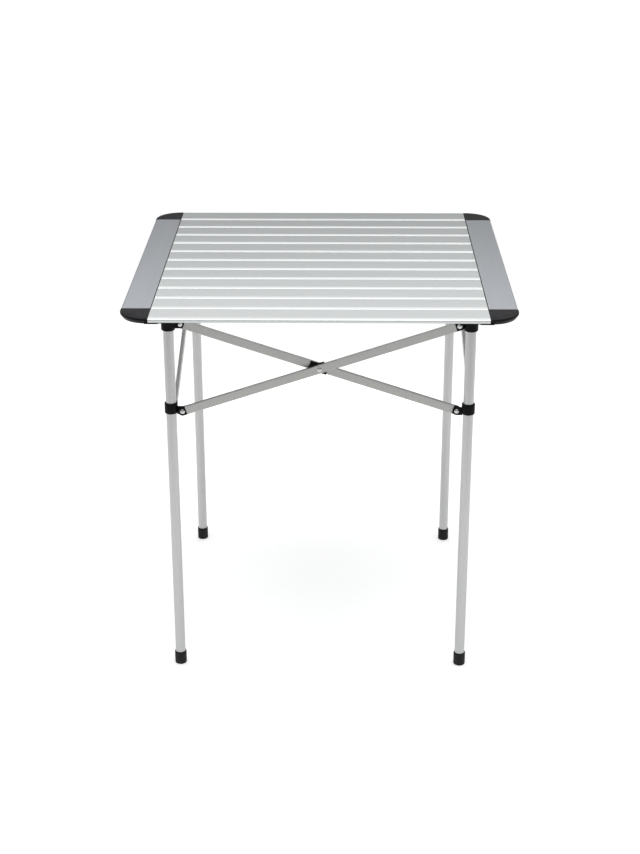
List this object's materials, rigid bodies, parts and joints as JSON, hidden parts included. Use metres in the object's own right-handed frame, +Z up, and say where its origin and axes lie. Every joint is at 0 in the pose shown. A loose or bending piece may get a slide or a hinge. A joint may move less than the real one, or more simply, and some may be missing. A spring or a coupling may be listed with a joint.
{
  "type": "folding side table",
  "caption": "Square folding camp table with a roll-up slatted aluminium top on a collapsible scissor-braced tube frame.",
  "frame": {"origin": "on the floor under the middle of the square top", "axes": "+Z up, +X to the right along the slats, +Y to the rear across the slats"},
  "size_m": [0.7, 0.7, 0.73],
  "materials": {
    "slat": "satin anodised, drawn along the slat",
    "rail": "satin anodised, slightly blue grey",
    "leg_tube": "satin anodised round tube",
    "bar": "satin grey flat tube",
    "rivet": "bright domed heads",
    "moulding": "black moulded nylon",
    "cap": "charcoal moulded plastic, fine texture",
    "foot": "black moulded"
  },
  "bodies": {
    "leg_front_left": {"leg_front_left": "leg_tube", "head_front_left": "moulding", "foot_front_left": "foot"},
    "leg_front_right": {"leg_front_right": "leg_tube", "head_front_right": "moulding", "foot_front_right": "foot"},
    "leg_rear_right": {"leg_rear_right": "leg_tube", "head_rear_right": "moulding", "foot_rear_right": "foot"},
    "leg_rear_left": {"leg_rear_left": "leg_tube", "head_rear_left": "moulding", "foot_rear_left": "foot"},
    "slider_front_left": {"slider_front_left": "moulding"},
    "slider_front_right": {"slider_front_right": "moulding"},
    "slider_rear_right": {"slider_rear_right": "moulding"},
    "slider_rear_left": {"slider_rear_left": "moulding"},
    "inner_front": {"bar_inner_front": "bar", "plugs_inner_front": "moulding", "rivets_inner_front": "rivet", "spacer_front": "moulding"},
    "outer_front": {"bar_outer_front": "bar", "plugs_outer_front": "moulding", "rivets_outer_front": "rivet"},
    "inner_right": {"bar_inner_right": "bar", "plugs_inner_right": "moulding", "rivets_inner_right": "rivet", "spacer_right": "moulding"},
    "outer_right": {"bar_outer_right": "bar", "plugs_outer_right": "moulding", "rivets_outer_right": "rivet"},
    "inner_rear": {"bar_inner_rear": "bar", "plugs_inner_rear": "moulding", "rivets_inner_rear": "rivet", "spacer_rear": "moulding"},
    "outer_rear": {"bar_outer_rear": "bar", "plugs_outer_rear": "moulding", "rivets_outer_rear": "rivet"},
    "inner_left": {"bar_inner_left": "bar", "plugs_inner_left": "moulding", "rivets_inner_left": "rivet", "spacer_left": "moulding"},
    "outer_left": {"bar_outer_left": "bar", "plugs_outer_left": "moulding", "rivets_outer_left": "rivet"},
    "slat_01": {"slat_01": "slat"},
    "slat_02": {"slat_02": "slat"},
    "slat_03": {"slat_03": "slat"},
    "slat_04": {"slat_04": "slat"},
    "slat_05": {"slat_05": "slat"},
    "slat_06": {"slat_06": "slat"},
    "slat_07": {"slat_07": "slat"},
    "slat_08": {"slat_08": "slat"},
    "slat_09": {"slat_09": "slat"},
    "slat_10": {"slat_10": "slat"},
    "slat_11": {"slat_11": "slat"},
    "slat_12": {"slat_12": "slat"},
    "left_rail": {"rail_left": "rail", "caps_left": "cap"},
    "right_rail": {"rail_right": "rail", "caps_right": "cap"}
  },
  "joints": [
    {"name": "frame_fold", "type": "hinge", "parent": "leg_front_left", "child": "inner_front", "pos_m": [-0.249, -0.265, 0.693], "axis": [0, 1, 0], "range_deg": [0, 62]},
    {"name": "front_crossing", "type": "hinge", "parent": "inner_front", "child": "outer_front", "pos_m": [0, -0.27, 0.6105], "axis": [0, 1, 0], "range_deg": [-124, 0]},
    {"name": "front_right_upper_pivot", "type": "hinge", "parent": "outer_front", "child": "leg_front_right", "pos_m": [0.249, -0.275, 0.693], "axis": [0, 1, 0], "range_deg": [0, 62]},
    {"name": "front_left_collar_pivot", "type": "hinge", "parent": "outer_front", "child": "slider_front_left", "pos_m": [-0.249, -0.275, 0.528], "axis": [0, 1, 0], "range_deg": [0, 62]},
    {"name": "front_right_collar_pivot", "type": "hinge", "parent": "inner_front", "child": "slider_front_right", "pos_m": [0.249, -0.265, 0.528], "axis": [0, 1, 0], "range_deg": [-62, 0]},
    {"name": "right_upper_pivot", "type": "hinge", "parent": "leg_front_right", "child": "inner_right", "pos_m": [0.265, -0.249, 0.693], "axis": [-1, 0, 0], "range_deg": [0, 62]},
    {"name": "right_crossing", "type": "hinge", "parent": "inner_right", "child": "outer_right", "pos_m": [0.27, 0, 0.6105], "axis": [-1, 0, 0], "range_deg": [-124, 0]},
    {"name": "rear_right_upper_pivot", "type": "hinge", "parent": "outer_right", "child": "leg_rear_right", "pos_m": [0.275, 0.249, 0.693], "axis": [-1, 0, 0], "range_deg": [0, 62]},
    {"name": "rear_right_collar_pivot", "type": "hinge", "parent": "inner_right", "child": "slider_rear_right", "pos_m": [0.265, 0.249, 0.528], "axis": [-1, 0, 0], "range_deg": [-62, 0]},
    {"name": "left_upper_pivot", "type": "hinge", "parent": "leg_front_left", "child": "outer_left", "pos_m": [-0.275, -0.249, 0.693], "axis": [1, 0, 0], "range_deg": [-62, 0]},
    {"name": "left_crossing", "type": "hinge", "parent": "outer_left", "child": "inner_left", "pos_m": [-0.27, 0, 0.6105], "axis": [1, 0, 0], "range_deg": [0, 124]},
    {"name": "rear_left_upper_pivot", "type": "hinge", "parent": "inner_left", "child": "leg_rear_left", "pos_m": [-0.265, 0.249, 0.693], "axis": [1, 0, 0], "range_deg": [-62, 0]},
    {"name": "rear_left_collar_pivot", "type": "hinge", "parent": "outer_left", "child": "slider_rear_left", "pos_m": [-0.275, 0.249, 0.528], "axis": [1, 0, 0], "range_deg": [0, 62]},
    {"name": "rear_upper_pivot", "type": "hinge", "parent": "leg_rear_right", "child": "inner_rear", "pos_m": [0.249, 0.265, 0.693], "axis": [0, -1, 0], "range_deg": [0, 62]},
    {"name": "rear_crossing", "type": "hinge", "parent": "inner_rear", "child": "outer_rear", "pos_m": [0, 0.27, 0.6105], "axis": [0, -1, 0], "range_deg": [-124, 0]},
    {"name": "top_lift", "type": "slide", "parent": "leg_front_left", "child": "slat_12", "axis": [0, 0, 1], "range_m": [0, 0.15]},
    {"name": "left_rail_pull", "type": "slide", "parent": "slat_12", "child": "left_rail", "axis": [-1, 0, 0], "range_m": [0, 0.06]},
    {"name": "right_rail_pull", "type": "slide", "parent": "slat_12", "child": "right_rail", "axis": [1, 0, 0], "range_m": [0, 0.06]},
    {"name": "slat_joint_11", "type": "hinge", "parent": "slat_12", "child": "slat_11", "pos_m": [0, -0.29167, 0.73], "axis": [1, 0, 0], "range_deg": [0, 44]},
    {"name": "slat_joint_10", "type": "hinge", "parent": "slat_11", "child": "slat_10", "pos_m": [0, -0.23333, 0.73], "axis": [1, 0, 0], "range_deg": [0, 44]},
    {"name": "slat_joint_09", "type": "hinge", "parent": "slat_10", "child": "slat_09", "pos_m": [0, -0.175, 0.73], "axis": [1, 0, 0], "range_deg": [0, 44]},
    {"name": "slat_joint_08", "type": "hinge", "parent": "slat_09", "child": "slat_08", "pos_m": [0, -0.11667, 0.73], "axis": [1, 0, 0], "range_deg": [0, 44]},
    {"name": "slat_joint_07", "type": "hinge", "parent": "slat_08", "child": "slat_07", "pos_m": [0, -0.05833, 0.73], "axis": [1, 0, 0], "range_deg": [0, 44]},
    {"name": "slat_joint_06", "type": "hinge", "parent": "slat_07", "child": "slat_06", "pos_m": [0, 0, 0.73], "axis": [1, 0, 0], "range_deg": [0, 44]},
    {"name": "slat_joint_05", "type": "hinge", "parent": "slat_06", "child": "slat_05", "pos_m": [0, 0.05833, 0.73], "axis": [1, 0, 0], "range_deg": [0, 55]},
    {"name": "slat_joint_04", "type": "hinge", "parent": "slat_05", "child": "slat_04", "pos_m": [0, 0.11667, 0.73], "axis": [1, 0, 0], "range_deg": [0, 66]},
    {"name": "slat_joint_03", "type": "hinge", "parent": "slat_04", "child": "slat_03", "pos_m": [0, 0.175, 0.73], "axis": [1, 0, 0], "range_deg": [0, 77]},
    {"name": "slat_joint_02", "type": "hinge", "parent": "slat_03", "child": "slat_02", "pos_m": [0, 0.23333, 0.73], "axis": [1, 0, 0], "range_deg": [0, 99]},
    {"name": "slat_joint_01", "type": "hinge", "parent": "slat_02", "child": "slat_01", "pos_m": [0, 0.29167, 0.73], "axis": [1, 0, 0], "range_deg": [0, 110]}
  ],
  "couplings": [
    {"joint": "front_crossing", "follows": "frame_fold", "ratio": -2},
    {"joint": "front_right_upper_pivot", "follows": "frame_fold", "ratio": 1},
    {"joint": "front_left_collar_pivot", "follows": "frame_fold", "ratio": 1},
    {"joint": "front_right_collar_pivot", "follows": "frame_fold", "ratio": -1},
    {"joint": "right_upper_pivot", "follows": "frame_fold", "ratio": 1},
    {"joint": "right_crossing", "follows": "frame_fold", "ratio": -2},
    {"joint": "rear_right_upper_pivot", "follows": "frame_fold", "ratio": 1},
    {"joint": "rear_right_collar_pivot", "follows": "frame_fold", "ratio": -1},
    {"joint": "left_upper_pivot", "follows": "frame_fold", "ratio": -1},
    {"joint": "left_crossing", "follows": "frame_fold", "ratio": 2},
    {"joint": "rear_left_upper_pivot", "follows": "frame_fold", "ratio": -1},
    {"joint": "rear_left_collar_pivot", "follows": "frame_fold", "ratio": 1},
    {"joint": "rear_upper_pivot", "follows": "frame_fold", "ratio": 1},
    {"joint": "rear_crossing", "follows": "frame_fold", "ratio": -2}
  ]
}
